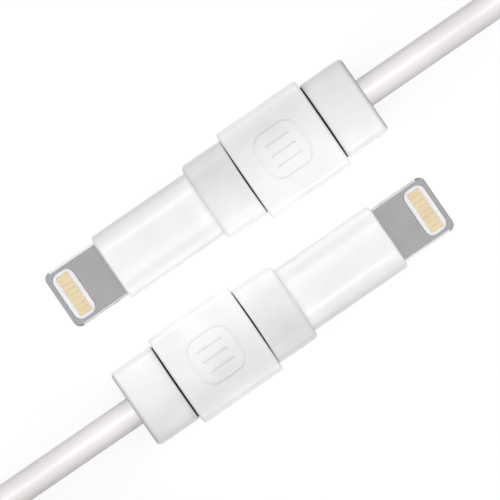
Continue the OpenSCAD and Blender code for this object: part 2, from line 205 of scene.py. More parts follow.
def joinOn(obj, other):
    combine(obj, other, "UNION")


def copyOf(obj, name):
    # a copy with its own mesh
    piece = obj.copy()
    piece.data = obj.data.copy()
    piece.name = piece.data.name = name
    bpy.context.collection.objects.link(piece)
    return piece


def drawLine(name, points, closed, **settings):
    # a curve of straight steps through its points
    line = bpy.data.curves.new(name, "CURVE")
    for key, value in settings.items():
        setattr(line, key, value)
    spline = line.splines.new("POLY")
    spline.points.add(len(points) - 1)
    for knot, point in zip(spline.points, points):
        knot.co = (*scaled(point), 1)
    spline.use_cyclic_u = closed
    obj = bpy.data.objects.new(name, line)
    bpy.context.collection.objects.link(obj)
    return obj


def toMesh(obj):
    pick(obj)
    bpy.ops.object.convert(target="MESH")
    return bpy.context.object


def endMatrix(end):
    # from one end's own place, tip at the origin and axis along x, to where the end lies
    turn = Matrix.Rotation(math.radians(layout["angle"] + layout["ends"][end]), 4, "Z")
    shift = Matrix.Translation(scaled([-layout["tipReach"], layout["axisSpacing"] / 2,
                                       layout["axisHeight"]]))
    return turn @ shift


# sets of pieces for the lamps: what each fan lights, and what can throw a shadow at each end
lampSets = {}


def addToSet(obj, name):
    if name not in lampSets:
        lampSets[name] = bpy.data.collections.new(name)
    lampSets[name].objects.link(obj)


def placeEnds(obj, name, nodes, body="cable", fan=None):
    # copies the finished piece to both ends
    for end in layout["ends"]:
        piece = copyOf(obj, name + end)
        piece.matrix_world = endMatrix(end)
        applyAll(piece)
        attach(piece, body.format(end.lower()))
        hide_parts(*[node + "_" + end.lower() for node in nodes])
        addToSet(piece, "end" + end)
        if fan:
            addToSet(piece, fan + end)
    bpy.data.objects.remove(obj, do_unlink=True)


# the camera: a long lens straight above, with a view as wide as given at the height given
cameraView = {"width": 52.08, "height": 8.0, "distance": 1500, "x": 0.05, "y": 0.21, "sensor": 36,
              "clipEnd": 20000}

bpy.ops.object.camera_add(location=scaled([cameraView["x"], cameraView["y"],
                                           cameraView["distance"] + cameraView["height"]]))
camera = bpy.context.object
camera.name = "overheadCamera"
camera.data.sensor_width = cameraView["sensor"]
camera.data.lens = cameraView["sensor"] * cameraView["distance"] / cameraView["width"]
camera.data.clip_end = cameraView["clipEnd"] * mm
bpy.context.scene.camera = camera
print("camera set")

# the cord; aside is how far it leaves each end beside the axis, exitDrop gives its places and
# heights behind that, and steps is how finely the stretch between two points is divided
cord = {
    "diameter": 3.2,
    "freeLength": 922,
    "aside": 0.1,
    "steps": 5,
    "roundness": 6,
    "exitDrop": [[0, 5.35], [3.2, 5.35], [7, 4.9], [11, 3.7], [15, 2.35], [19, 1.65]],
    "routeA": [[28.7, 27.8, 1.6], [31.6, 29, 1.6], [35, 28.8, 1.6], [38.1, 27.1, 1.6],
               [40.1, 24.3, 1.6], [40.8, 21, 1.6], [40.9, 15, 1.6], [40.7, 9, 1.6],
               [40.4, 3, 1.6], [40.1, -3, 1.6], [39.8, -9, 1.6], [39.6, -15, 1.6],
               [39.4, -21, 1.6], [39.4, -27, 1.6], [39.4, -32, 1.6], [39.4, -37, 1.7],
               [39.4, -42, 2.7], [39.3, -47, 4.6], [38, -51.9, 7.2], [34.4, -55.6, 9.8],
               [29.6, -56.9, 11.9]],
    "routeB": [[-28.6, -28, 1.6], [-30.8, -30.5, 1.6], [-31.8, -34.3, 1.6], [-31.9, -38.5, 1.6],
               [-31.8, -43, 1.6], [-31.6, -47.4, 1.6], [-30.2, -51.9, 1.6], [-26.7, -55.5, 1.6]],
}

# the folded hank: two turns wide and four layers high, drawn in at the waist; endMargin keeps its
# end within the last quarter turn
hank = {
    "middle": [0.6, -43.5],
    "foldRadius": 9.6,
    "turnStep": 3.85,
    "layerStep": 3.8,
    "halfRun": 16.25,
    "waistHalf": 5.6,
    "waistStep": 4.3,
    "waistLift": 1.1,
    "layers": 4,
    "turns": 5.25,
    "endMargin": 0.0001,
    "pointsPerTurn": 24,
    "moveSpan": 0.125,
    # turn where the move starts, columns inwards, layers up; each takes moveSpan of a turn
    "moves": [[0.625, 1, 0], [1.5, 0, 1], [2.125, -1, 0], [3, 0, 1], [3.625, 1, 0], [4.5, 0, 1],
              [5.125, -1, 0]],
}


def easeIn(t):
    return (1 - math.cos(math.pi * min(max(t, 0), 1))) / 2


def hankMoved(turn, which):
    return sum(move[which] * easeIn((turn - move[0]) / hank["moveSpan"]) for move in hank["moves"])


def hankPoint(turn):
    # each turn is a run, a fold, the run back and the other fold
    part = turn - math.floor(turn)
    quarter = min(math.floor(4 * part), 3)
    share = 4 * part - quarter
    out = 1 - hankMoved(turn, 1)
    fold = hank["foldRadius"] + out * hank["turnStep"]
    waist = hank["waistHalf"] + out * hank["waistStep"]
    run = (2 * share - 1 if quarter == 0 else 1 - 2 * share) * hank["halfRun"]
    nip = (1 + math.cos(math.pi * run / hank["halfRun"])) / 2
    beside = fold - (fold - waist) * nip
    z = cord["diameter"] / 2 + hankMoved(turn, 2) * hank["layerStep"]
    if quarter % 2 == 0:
        x, y = run, beside if quarter == 2 else -beside
        z += hank["waistLift"] * nip
    else:
        bend = math.radians((-90 if quarter == 1 else 90) + 180 * share)
        x = (hank["halfRun"] if quarter == 1 else -hank["halfRun"]) + fold * math.cos(bend)
        y = fold * math.sin(bend)
    return [hank["middle"][0] + x, hank["middle"][1] + y, z]


def exitStretch(end):
    return [list(endMatrix(end) @ Vector(scaled([along["exit"] + x, cord["aside"],
                                                 z - layout["axisHeight"]])))
            for x, z in cord["exitDrop"]]


def cordPoints():
    lead = cord["diameter"]
    first = hankPoint(0)
    last = hankPoint(hank["turns"] - hank["endMargin"])
    count = int(hank["turns"] * hank["pointsPerTurn"])
    turns = [hankPoint(i / hank["pointsPerTurn"]) for i in range(count)]
    middle = cord["routeA"] + [[last[0] + 2 * lead, *last[1:]], [last[0] + lead, *last[1:]], last]
    middle += turns[::-1]
    middle += [[first[0] - lead, *first[1:]], [first[0] - 2 * lead, *first[1:]]]
    middle += cord["routeB"][::-1]
    return exitStretch("A") + [scaled(p) for p in middle] + exitStretch("B")[::-1]


def makeCord():
    points = cordPoints()
    print("cord laid:", len(points), "points")
    line = bpy.data.curves.new("cord", "CURVE")
    line.dimensions = "3D"
    line.resolution_u = cord["steps"]
    line.bevel_depth = cord["diameter"] / 2 * mm
    line.bevel_resolution = cord["roundness"]
    line.use_fill_caps = True
    spline = line.splines.new("BEZIER")
    spline.bezier_points.add(len(points) - 1)
    for knot, point in zip(spline.bezier_points, points):
        knot.co = point
        knot.handle_left_type = knot.handle_right_type = "AUTO"
    piece = bpy.data.objects.new("cord", line)
    bpy.context.collection.objects.link(piece)
    return piece


cordPiece = makeCord()

# the plug's tongue
tongue = {"width": 6.65, "thickness": 1.5, "rootEnd": 9.0, "tipRadius": 0.8, "edgeRadius": 0.4,
          "tipSegments": 12, "edgeSegments": 8, "windowFront": 0.5, "windowLength": 2.5,
          "windowWidth": 5.5, "windowRadius": 0.9, "windowBevel": 0.05, "bevelAngle": 60,
          "bevelSegments": 3, "plateSegments": 10}


def roundedPlate(name, x0, x1, width, thickness, radius, z=0):
    obj = block(name, x0, x1, width, thickness, z=z)
    bevelEdges(obj, lambda e: edgeRuns(e, 2), radius, tongue["plateSegments"])
    return obj


def makeTongue():
    size = tongue
    obj = block("tongue", 0, size["rootEnd"], size["width"], size["thickness"])
    bevelEdges(obj, lambda e: edgeRuns(e, 2) and edgeMiddle(e).x < samePlace, size["tipRadius"],
               size["tipSegments"])
    half = size["thickness"] / 2 * mm
    bevelEdges(obj, lambda e: abs(abs(edgeMiddle(e).z) - half) < samePlace, size["edgeRadius"],
               size["edgeSegments"])
    windowEnd = size["windowFront"] + size["windowLength"]
    cutAway(obj, roundedPlate("window", size["windowFront"], windowEnd, size["windowWidth"],
                              2 * size["thickness"], size["windowRadius"]))
    finishModifier(obj, "BEVEL", width=size["windowBevel"] * mm, segments=size["bevelSegments"],
                   limit_method="ANGLE", angle_limit=math.radians(size["bevelAngle"]))
    return smooth(obj)


# the light insert in the tongue's window, and its contacts
insert = {"gap": 0.02, "face": 0.72, "edge": 0.06, "edgeSegments": 4, "troughGap": 0.04,
          "troughDepth": 0.07, "troughCorner": 0.2}
contacts = {"count": 8, "pitch": 0.6, "width": 0.5, "length": 1.45, "thickness": 0.22, "edge": 0.03,
            "edgeSegments": 3, "cornerRadius": 0.12}


def contactRow(name):
    # one contact is modelled, then copied across the row
    size = contacts
    middle = tongue["windowFront"] + tongue["windowLength"] / 2
    top = tongue["thickness"] / 2
    first = roundedPlate(name, middle - size["length"] / 2, middle + size["length"] / 2,
                         size["width"], size["thickness"], size["cornerRadius"],
                         top - size["thickness"] / 2)
    bevelEdges(first, lambda e: edgeMiddle(e).z > top * mm - samePlace, size["edge"],
               size["edgeSegments"])
    first.location.y = -(size["count"] - 1) / 2 * size["pitch"] * mm
    applyAll(first)
    finishModifier(first, "ARRAY", count=size["count"], use_relative_offset=False,
                   use_constant_offset=True,
                   constant_offset_displace=(0, size["pitch"] * mm, 0))
    return smooth(first)


def turnedOver(obj, name):
    # the same piece on the plug's other face
    other = copyOf(obj, name)
    other.rotation_euler.x = math.pi
    return applyAll(other)


def makeInsert():
    # a shallow trough in each face holds the row of contacts
    size = insert
    windowEnd = tongue["windowFront"] + tongue["windowLength"]
    obj = roundedPlate("insert", tongue["windowFront"] + size["gap"], windowEnd - size["gap"],
                       tongue["windowWidth"] - 2 * size["gap"], 2 * size["face"],
                       tongue["windowRadius"] - size["gap"])
    bevelEdges(obj, lambda e: abs(abs(edgeMiddle(e).z) - size["face"] * mm) < samePlace,
               size["edge"], size["edgeSegments"])
    middle = (tongue["windowFront"] + windowEnd) / 2
    reach = contacts["length"] / 2 + size["troughGap"]
    rowWidth = (contacts["count"] - 1) * contacts["pitch"] + contacts["width"]
    trough = roundedPlate("trough", middle - reach, middle + reach,
                          rowWidth + 2 * size["troughGap"], 2 * size["troughDepth"],
                          size["troughCorner"], size["face"])
    other = turnedOver(trough, "troughBelow")
    cutAway(obj, trough)
    cutAway(obj, other)
    return smooth(obj)


# the boot; its seam is the gap round the tongue
boot = {"width": 7.7, "height": 4.9, "fullness": 3.5, "frontEdge": 0.4, "rearEdge": 0.15,
        "seam": 0.03, "seamSegments": 6, "recess": 1.2}


def makeBoot():
    size = boot
    obj = softBar("boot", along["boot"], along["bootEnd"], size["width"], size["height"],
                  size["fullness"], size["frontEdge"], size["rearEdge"])
    opening = block("opening", along["boot"] - spare, along["boot"] + size["recess"],
                    tongue["width"] + 2 * size["seam"], tongue["thickness"] + 2 * size["seam"])
    bevelEdges(opening, lambda e: edgeRuns(e, 0), tongue["edgeRadius"], size["seamSegments"])
    cutAway(obj, opening)
    return smooth(obj)


# the protector: body, turning sleeve and rear collar
protector = {
    "collarSize": 9.15, "collarFullness": 4.6, "collarEdge": 0.5, "innerEdge": 0.12,
    "sleeveSize": 10.7, "sleeveFullness": 9, "sleeveCrown": 0.03, "sleeveEdge": 0.3,
    "neckDiameter": 7.0, "neckBore": 4.4, "runningGap": 0.06, "slotWidth": 3.5,
    "stopWidth": 0.8, "stopHeight": 0.45, "stopLength": 1.3, "recessGap": 0.2,
    "recessInside": 0.5, "recessSteps": 24, "turnAngle": 90, "stopSlack": 3, "bootGap": 0.05,
    # the inset and share on the next line set the black rings of painted shade in the gaps beside
    # the sleeve
    "seatGap": 0.02, "shadeRingInset": 0.2, "shadeRingShare": 0.68,
}

# the faces beside the sleeve are a little hollow: the bow narrows each gap towards its ends and
# the lean makes one end narrower than the other; points within reach of a face move with it
hollow = {"front": {"face": "collarFace", "sleeve": "sleeve", "lean": 0.0066, "bow": 0.0073,
                    "reach": 0.5},
          "rear": {"face": "rearFace", "sleeve": "sleeveEnd", "lean": -0.003, "bow": 0.0036,
                   "reach": 0.5}}


def hollowFace(obj, side):
    # moves the face beside the sleeve by what the gap loses there, and a washer, the black ring of
    # painted shade in the gap, by its share
    look = hollow[side]
    face, sleeve = along[look["face"]] * mm, along[look["sleeve"]] * mm
    gap = sleeve - face
    for vert in obj.data.vertices:
        if abs(vert.co.x - face) < look["reach"] * mm:
            y = vert.co.y / mm
            lost = (look["lean"] * y + look["bow"] * y * y) * mm / abs(gap)
            share = min(max((sleeve - vert.co.x) / gap, 0), 1)
            vert.co.x += lost * share * gap
    return obj


def layInSlot(x0, x1):
    # what lets the cord in, from the axis downwards
    half = protector["sleeveSize"] / 2
    return block("slot", x0, x1, protector["slotWidth"], 2 * half, z=-half)


def makeBody():
    size = protector
    obj = softBar("protectorBody", along["collar"], along["collarFace"], size["collarSize"],
                  size["collarSize"], size["collarFullness"], size["collarEdge"],
                  size["innerEdge"])
    hollowFace(obj, "front")
    neckRadius = size["neckDiameter"] / 2
    joinOn(obj, rod("neck", along["neck"] - spare, along["neckEnd"], neckRadius))
    ribTop = neckRadius + size["stopHeight"]
    joinOn(obj, block("rib", along["neck"] - spare, along["neck"] + size["stopLength"],
                      size["stopWidth"], ribTop, z=ribTop / 2))
    cutAway(obj, softBar("pocket", along["collar"] - spare, along["bootEnd"],
                         boot["width"] + 2 * size["bootGap"], boot["height"] + 2 * size["bootGap"],
                         boot["fullness"]))
    cutAway(obj, rod("bore", along["collar"], along["exit"], size["neckBore"] / 2,
                     detail["boreSides"]))
    cutAway(obj, layInSlot(along["collar"] - spare, along["exit"]))
    return smooth(obj)


def stopRecess():
    # the arc that the rib runs in: a flat section, spun round the axis
    size = protector
    neckRadius = size["neckDiameter"] / 2
    outer = neckRadius + size["stopHeight"] + size["recessGap"] / 2
    depth = size["stopLength"] - (along["sleeve"] - along["neck"]) + size["recessGap"]
    ribAngle = math.degrees(math.asin(size["stopWidth"] / 2 / neckRadius))
    start = 90 - ribAngle - size["stopSlack"]
    sweep = size["turnAngle"] + 2 * (ribAngle + size["stopSlack"])
    bpy.ops.mesh.primitive_plane_add(size=1)
    arc = bpy.context.object
    arc.name = "recess"
    arc.scale = scaled([depth + spare, outer - neckRadius + size["recessInside"], 1])
    arc.location = scaled([along["sleeve"] - spare + (depth + spare) / 2,
                           (outer + neckRadius - size["recessInside"]) / 2, 0])
    applyAll(arc)
    arc.rotation_euler.x = math.radians(start)
    applyAll(arc)
    pick(arc)
    bpy.ops.object.mode_set(mode="EDIT")
    bpy.ops.mesh.select_all(action="SELECT")
    bpy.ops.mesh.spin(steps=size["recessSteps"], angle=math.radians(sweep), center=(0, 0, 0),
                      axis=(1, 0, 0))
    tidyMesh(arc)
    return arc


# a plain thumb mark on the sleeve's face: a rounded frame line round three grip bars
thumbMark = {"size": 5.6, "corner": 1.57, "line": 0.35, "depth": 0.15, "bars": 3, "barLength": 2.94,
             "cornerSteps": 8, "roundness": 5}


def faceHeight(y):
    # how high the crowned face of the sleeve is above the axis
    half = protector["sleeveSize"] / 2
    return half * (1 - protector["sleeveCrown"] * (y / half) ** 2)


def grooveAlong(name, points, closed):
    # a round-bottomed groove: a tube that is cut away where it dips into the face
    width, depth = thumbMark["line"], thumbMark["depth"]
    radius = (width ** 2 / 4 + depth ** 2) / (2 * depth)
    middles = [[x, y, faceHeight(y) - depth + radius] for x, y in points]
    return toMesh(drawLine(name, middles, closed, dimensions="3D", bevel_depth=radius * mm,
                           bevel_resolution=thumbMark["roundness"], use_fill_caps=True))


def markOutline(middle):
    # a square with round corners
    half = (thumbMark["size"] - thumbMark["line"]) / 2
    corner, steps = thumbMark["corner"], thumbMark["cornerSteps"]
    points = []
    for step in range(4 * (steps + 1)):
        quarter, part = divmod(step, steps + 1)
        angle = math.radians(90 * quarter + 90 * part / steps)
        cx = (half - corner) * (1 if quarter in (0, 3) else -1)
        cy = (half - corner) * (1 if quarter in (0, 1) else -1)
        points.append([middle + cx + corner * math.cos(angle), cy + corner * math.sin(angle)])
    return points


def makeSleeve():
    size = protector
    obj = softBar("sleeve", along["sleeve"], along["sleeveEnd"], size["sleeveSize"],
                  size["sleeveSize"], size["sleeveFullness"], size["sleeveEdge"],
                  size["sleeveEdge"], size["sleeveCrown"])
    cutAway(obj, rod("bore", along["sleeve"] - spare, along["sleeveEnd"] + spare,
                     size["neckDiameter"] / 2 + size["runningGap"]))
    half = size["sleeveSize"] / 2
    cutAway(obj, block("sideSlot", along["sleeve"] - spare, along["sleeveEnd"] + spare, 2 * half,
                       size["slotWidth"], y=half))
    cutAway(obj, stopRecess())
    middle = (along["sleeve"] + along["sleeveEnd"]) / 2
    cutAway(obj, grooveAlong("markFrame", markOutline(middle), True))
    inner = thumbMark["size"] - 2 * thumbMark["line"]
    reach = thumbMark["barLength"] / 2
    for bar in range(thumbMark["bars"]):
        y = (bar + 1) * inner / (thumbMark["bars"] + 1) - inner / 2
        cutAway(obj, grooveAlong("markBar", [[middle - reach, y], [middle + reach, y]], False))
    return smooth(obj)


def makeGrooveShadeRing(side):
    # a black ring of painted shade that fills most of the gap beside the sleeve, set back from its
    # edges, so that the groove looks dark
    size = protector
    width = size["collarSize"] - 2 * size["shadeRingInset"]
    near, far = sorted((along[hollow[side]["face"]], along[hollow[side]["sleeve"]]))
    middle, reach = (near + far) / 2, (far - near) / 2
    obj = softBar(side + "ShadeRing", middle - reach * size["shadeRingShare"],
                  middle + reach * size["shadeRingShare"], width, width, size["collarFullness"])
    cutAway(obj, rod("hole", near - spare, far + spare, size["neckDiameter"] / 2))
    cutAway(obj, layInSlot(near - spare, far + spare))
    return smooth(hollowFace(obj, side))


def makeRearCollar():
    size = protector
    obj = softBar("rearCollar", along["rearFace"], along["exit"], size["collarSize"],
                  size["collarSize"], size["collarFullness"], size["innerEdge"],
                  size["collarEdge"])
    hollowFace(obj, "rear")
    cutAway(obj, rod("seat", along["rearFace"] - spare, along["neckEnd"],
                     size["neckDiameter"] / 2 + size["seatGap"]))
    cutAway(obj, rod("cordHole", along["rearFace"], along["exit"] + spare, size["slotWidth"] / 2,
                     detail["boreSides"]))
    cutAway(obj, layInSlot(along["rearFace"] - spare, along["exit"] + spare))
    return smooth(obj)


# the strap round the hank, and its free end, the tail; points of its outline nearer than double
# count as one, and one unit of its map is mapUnit long
strap = {"width": 6, "thickness": 0.8, "gap": 0.3, "edge": 0.16, "edgeSegments": 3,
         "edgeAngle": 60, "arcSteps": 12, "smoothAngle": 40, "double": 0.0001, "mapUnit": 10,
         "tailThickness": 0.7, "tailGap": 0.02, "tailReach": 3.2, "tailSteps": 8, "tailLift": 0.25,
         "tailCurl": 4, "tailRound": 1.6, "tailSegments": 8}


def strapArcs():
    # corner centres and the angles that the strap turns through there, from below and round
    outer = hank["waistHalf"] + hank["waistStep"]
    low = hank["waistLift"] + cord["diameter"] / 2
    top = low + (hank["layers"] - 1) * hank["layerStep"]
    shoulder = top - cord["diameter"]
    slant = math.degrees(math.atan2(outer - hank["waistHalf"], top - shoulder))
    right = [(outer, low, -90, 0), (outer, shoulder, 0, slant),
             (hank["waistHalf"], top, slant, 90)]
    left = [(-y, z, 180 - end, 180 - start) for y, z, start, end in reversed(right)]
    return right + left


def strapPoints(reach, arcs):
    points = []
    steps = strap["arcSteps"]
    for y, z, start, end in arcs:
        for step in range(steps + 1):
            angle = math.radians(start + (end - start) * step / steps)
            points.append([y + reach * math.cos(angle), z + reach * math.sin(angle)])
    return points


def strapBand(name, points, closed):
    # a ribbon of the strap's width along a flat curve, then stood upright across the hank
    obj = drawLine(name, [[y, z, 0] for y, z in points], closed, dimensions="2D",
                   fill_mode="NONE", extrude=strap["width"] / 2 * mm)
    obj.location = scaled([*hank["middle"], 0])
    obj.rotation_euler = (math.pi / 2, 0, math.pi / 2)
    obj = applyAll(toMesh(obj))
    tidyMesh(obj)
    return obj


def nearestOnBand(spot, spots):
    # how far off the flat curve a spot lies, and how far along the curve that is
    best = (math.inf, 0)
    run = 0
    for start, end in zip(spots, spots[1:]):
        step = end - start
        if step.length < strap["double"]:
            continue
        share = min(max((spot - start).dot(step) / step.length_squared, 0), 1)
        best = min(best, ((spot - start - share * step).length, run + share * step.length))
        run += step.length
    return best


def mapCloth(obj, points, thickness, outside):
    # a UV map at true size, so that the weave keeps its scale: across the band and over its edges,
    # and along it; the map that the curve left is removed, because the shader would read that one
    spots = [Vector(point) for point in points]
    loop = sum((end - start).length for start, end in zip(spots, spots[1:]))
    cloth = []
    for vert in obj.data.vertices:
        x, y, z = vert.co / mm
        off, run = nearestOnBand(Vector((y - hank["middle"][1], z)), spots)
        x -= hank["middle"][0]
        depth = thickness - off if outside > 0 else off
        cloth.append((x + math.copysign(depth, x), run))
    while obj.data.uv_layers:
        obj.data.uv_layers.remove(obj.data.uv_layers[0])
    layer = obj.data.uv_layers.new(name="clothMap")
    for face in obj.data.polygons:
        first = cloth[face.vertices[0]][1]
        for corner, vertex in zip(face.loop_indices, face.vertices):
            across, run = cloth[vertex]
            run -= loop * round((run - first) / loop)
            layer.data[corner].uv = (across / strap["mapUnit"], run / strap["mapUnit"])


def thicken(obj, points, thickness, outside):
    # outside is 1 where the thickness goes outwards from the points, and -1 where it goes inwards
    finishModifier(obj, "SOLIDIFY", thickness=thickness * mm, offset=outside)
    finishModifier(obj, "BEVEL", width=strap["edge"] * mm, segments=strap["edgeSegments"],
                   limit_method="ANGLE", angle_limit=math.radians(strap["edgeAngle"]))
    tidyMesh(obj, merge=False)
    mapCloth(obj, points, thickness, outside)
    return smooth(obj, strap["smoothAngle"])


def makeStrap():
    points = strapPoints(cord["diameter"] / 2 + strap["gap"] + strap["thickness"], strapArcs())
    band = strapBand("hankStrap", points, True)
    return thicken(band, points + points[:1], strap["thickness"], -1)


def makeStrapTail():
    # the free end, laid over one shoulder and the top, and lifted a little at its tip
    reach = cord["diameter"] / 2 + strap["gap"] + strap["thickness"] + strap["tailGap"]
    points = strapPoints(reach, strapArcs()[1:3])
    y, z = points[-1]
    for step in range(1, strap["tailSteps"] + 1):
        share = step / strap["tailSteps"]
        points.append([y - share * (y + strap["tailReach"]),
                       z + strap["tailLift"] * share ** strap["tailCurl"]])
    tail = strapBand("strapTail", points, False)
    tip = (hank["middle"][1] - strap["tailReach"]) * mm
    bevelEdges(tail, lambda e: edgeRuns(e, 0) and abs(edgeMiddle(e).y - tip) < samePlace,
               strap["tailRound"], strap["tailSegments"], affect="VERTICES")
    return thicken(tail, points, strap["tailThickness"], 1)


# effects that several materials share

def newGroup(name, inputs, outputs):
    group = bpy.data.node_groups.new(name, "ShaderNodeTree")
    for label, kind, value in inputs:
        socket = group.interface.new_socket(label, in_out="INPUT", socket_type="NodeSocket" + kind)
        if value is not None:
            socket.default_value = value
    for label, kind in outputs:
        group.interface.new_socket(label, in_out="OUTPUT", socket_type="NodeSocket" + kind)
    return group, group.nodes.new("NodeGroupInput"), group.nodes.new("NodeGroupOutput")


def addNode(tree, kind, inputs=None, **settings):
    node = tree.nodes.new("ShaderNode" + kind)
    for key, value in settings.items():
        setattr(node, key, value)
    for key, value in (inputs or {}).items():
        if isinstance(value, bpy.types.NodeSocket):
            tree.links.new(value, node.inputs[key])
        else:
            node.inputs[key].default_value = value
    return node


def remap(tree, value, fromLow, fromHigh, toLow=0, toHigh=1):
    node = addNode(tree, "MapRange", {0: value, 1: fromLow, 2: fromHigh, 3: toLow, 4: toHigh},
                   clamp=True)
    return node.outputs[0]


def mathNode(tree, operation, a, b=0.0, c=0.0):
    return addNode(tree, "Math", {0: a, 1: b, 2: c}, operation=operation).outputs[0]


def moulded():
    # fine spark-eroded grain, slow mottling and a few faint rub marks
    group, given, made = newGroup(
        "mouldedSkin",
        [("Vector", "Vector", None), ("Grain", "Float", 9000.0), ("Mottle", "Float", 280.0)],
        [("Height", "Float"), ("Tone", "Float"), ("Rub", "Float")])
    spot = given.outputs["Vector"]
    grain = addNode(group, "TexNoise", {"Vector": spot, "Scale": given.outputs["Grain"],
                                        "Detail": 3.0, "Roughness": 0.6})
    mottle = addNode(group, "TexNoise", {"Vector": spot, "Scale": given.outputs["Mottle"],
                                         "Detail": 2.0})
    stretch = addNode(group, "Mapping", {"Vector": spot, "Rotation": (0.3, 0.5, 0.9),
                                         "Scale": (260.0, 5200.0, 2600.0)})
    rub = addNode(group, "TexNoise", {"Vector": stretch.outputs[0], "Scale": 1.0, "Detail": 4.0})
    mottleRange, rubRange = (0.3, 0.7), (0.58, 0.74)
    group.links.new(grain.outputs[0], made.inputs["Height"])
    group.links.new(remap(group, mottle.outputs[0], *mottleRange), made.inputs["Tone"])
    group.links.new(remap(group, rub.outputs[0], *rubRange), made.inputs["Rub"])
    return group


def brushed():
    # long fine lines along the plug's axis
    group, given, made = newGroup(
        "brushedLines",
        [("Vector", "Vector", None), ("Angle", "Float", 0.0), ("Fineness", "Float", 6000.0)],
        [("Height", "Float"), ("Tone", "Float")])
    turn = addNode(group, "VectorRotate", {"Vector": given.outputs["Vector"],
                                           "Angle": given.outputs["Angle"]},
                   rotation_type="Z_AXIS")
    squeeze = addNode(group, "Mapping", {"Vector": turn.outputs[0], "Scale": (0.03, 1.0, 1.0)})
    lines = addNode(group, "TexNoise", {"Vector": squeeze.outputs[0],
                                        "Scale": given.outputs["Fineness"], "Detail": 5.0,
                                        "Roughness": 0.7})
    cloud = addNode(group, "TexNoise", {"Vector": given.outputs["Vector"], "Scale": 420.0,
                                        "Detail": 2.0})
    cloudShare, lineShare, toneRange = 0.4, 0.6, (0.35, 0.65)
    mixed = mathNode(group, "MULTIPLY_ADD", cloud.outputs[0], cloudShare,
                     mathNode(group, "MULTIPLY", lines.outputs[0], lineShare))
    group.links.new(lines.outputs[0], made.inputs["Height"])
    group.links.new(remap(group, mixed, *toneRange), made.inputs["Tone"])
    return group


def wovenLoops():
    # short soft loops over a plain weave
    group, given, made = newGroup(
        "wovenLoops", [("Vector", "Vector", None), ("Pitch", "Float", 0.3)],
        [("Height", "Float"), ("Tone", "Float")])
    size = mathNode(group, "DIVIDE", math.tau, given.outputs["Pitch"])
    spot = addNode(group, "VectorMath", {0: given.outputs["Vector"], "Scale": size},
                   operation="SCALE")
    axes = addNode(group, "SeparateXYZ", {0: spot.outputs[0]})
    weave = mathNode(group, "MULTIPLY", mathNode(group, "SINE", axes.outputs[0]),
                     mathNode(group, "SINE", axes.outputs[1]))
    fuzz = addNode(group, "TexNoise", {"Vector": spot.outputs[0], "Scale": 0.9, "Detail": 5.0,
                                       "Roughness": 0.75})
    weaveShare, toneRange = 0.35, (0.2, 0.9)
    height = mathNode(group, "MULTIPLY_ADD", weave, weaveShare, fuzz.outputs[0])
    group.links.new(height, made.inputs["Height"])
    group.links.new(remap(group, height, *toneRange), made.inputs["Tone"])
    return group


groups = {"moulded": moulded(), "brushed": brushed(), "woven": wovenLoops()}


def effect(tree, name, inputs):
    return addNode(tree, "Group", inputs, node_tree=groups[name])


# the materials

def newMaterial(name, plain):
    material = bpy.data.materials.new(name)
    material.use_nodes = True
    tree = material.node_tree
    shader = tree.nodes["Principled BSDF"]
    for key, value in plain.items():
        shader.inputs[key].default_value = value
    return material, tree, shader


def spotOn(tree, output="Object"):
    return addNode(tree, "TexCoord").outputs[output]


def twoTone(tree, shader, tone, look):
    # inputs 6 and 7 and output 2 are the Mix node's colours
    mix = addNode(tree, "Mix", {0: tone, 6: (*look["dark"], 1), 7: (*look["light"], 1)},
                  data_type="RGBA")
    tree.links.new(mix.outputs[2], shader.inputs["Base Color"])


def bumpy(tree, shader, height, distance):
    bump = addNode(tree, "Bump", {"Height": height, "Distance": distance * mm, "Strength": 1.0})
    tree.links.new(bump.outputs[0], shader.inputs["Normal"])


def roughened(tree, shader, mask, spread, roughness):
    rough = mathNode(tree, "MULTIPLY_ADD", mask, spread, roughness)
    tree.links.new(rough, shader.inputs["Roughness"])


def plastic(name, look):
    material, tree, shader = newMaterial(name, {
        "IOR": look["ior"], "Coat Weight": look["coat"], "Coat Roughness": look["coatRoughness"]})
    skin = effect(tree, "moulded", {"Vector": spotOn(tree), "Grain": look["grain"],
                                    "Mottle": look["mottle"]})
    twoTone(tree, shader, skin.outputs["Tone"], look)
    roughened(tree, shader, skin.outputs["Rub"], look["rub"], look["roughness"])
    bumpy(tree, shader, skin.outputs["Height"], look["bump"])
    return material


bootLook = {"dark": (0.845, 0.845, 0.845), "light": (0.88, 0.88, 0.88), "ior": 1.5, "coat": 0.6,
            "coatRoughness": 0.12, "roughness": 0.3, "rub": 0.08, "grain": 7000.0,
            "mottle": 260.0, "bump": 0.0015}
protectorLook = {"dark": (0.81, 0.81, 0.81), "light": (0.885, 0.885, 0.885), "ior": 1.49,
                 "coat": 0.15, "coatRoughness": 0.2, "roughness": 0.36, "rub": 0.1,
                 "grain": 8000.0, "mottle": 220.0, "bump": 0.003}
insertLook = {"dark": (0.80, 0.79, 0.82), "light": (0.86, 0.85, 0.875), "ior": 1.55, "coat": 0.0,
              "coatRoughness": 0.1, "roughness": 0.42, "rub": 0.05, "grain": 16000.0,
              "mottle": 900.0, "bump": 0.002}
chipLook = {"dark": (0.02, 0.02, 0.022), "light": (0.035, 0.035, 0.037), "ior": 1.5, "coat": 0.0,
            "coatRoughness": 0.1, "roughness": 0.5, "rub": 0.05, "grain": 12000.0,
            "mottle": 900.0, "bump": 0.003}
boardLook = {"dark": (0.02, 0.14, 0.06), "light": (0.03, 0.2, 0.09), "ior": 1.5, "coat": 0.4,
             "coatRoughness": 0.15, "roughness": 0.4, "rub": 0.05, "grain": 6000.0,
             "mottle": 2400.0, "bump": 0.004}
wireLook = {"dark": (0.42, 0.03, 0.02), "light": (0.5, 0.045, 0.03), "ior": 1.5, "coat": 0.1,
            "coatRoughness": 0.2, "roughness": 0.4, "rub": 0.05, "grain": 9000.0,
            "mottle": 700.0, "bump": 0.002}
